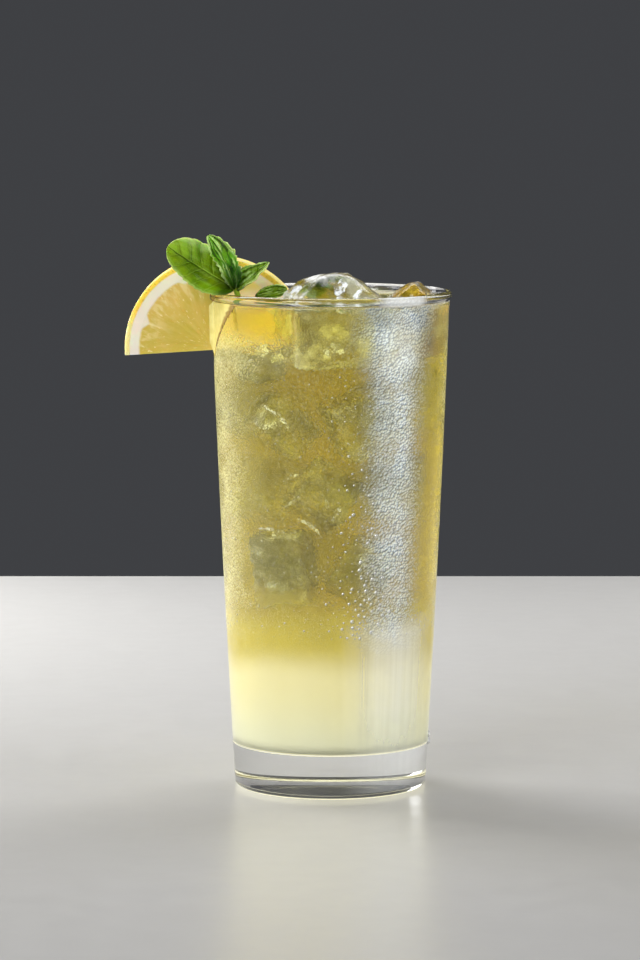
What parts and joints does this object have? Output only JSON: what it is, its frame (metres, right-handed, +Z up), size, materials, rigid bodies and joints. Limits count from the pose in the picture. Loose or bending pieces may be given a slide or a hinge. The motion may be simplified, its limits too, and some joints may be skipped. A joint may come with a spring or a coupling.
{
  "type": "glass of iced tea",
  "caption": "Tall tapered glass of layered iced tea with ice, a lemon half wheel hung on the rim and a mint sprig.",
  "frame": {"origin": "centre of the glass's flat underside", "axes": "+Z up along the glass's axis, -X towards the lemon slice, -Y towards the side with the mint in front"},
  "size_m": [0.1049, 0.078, 0.179],
  "materials": {
    "clear_glass": "polished, with fine condensation outside",
    "tea": "clear yellow liquid",
    "pale_layer": "cloudy pale yellow liquid",
    "ice": "wet, melting",
    "lemon": "wet cut flesh, waxy rind",
    "mint": "fresh leaf with a soft sheen",
    "water_drops": "condensation beads"
  },
  "bodies": {
    "root": {"glass": "clear_glass", "drink_tea": "tea", "drink_pale_layer": "pale_layer", "ice_centre": "ice", "ice_right": "ice", "lemon_slice": "lemon", "mint_sprig": "mint", "mint_leaf_front": "mint", "mint_leaf_behind": "mint"}
  },
  "joints": []
}
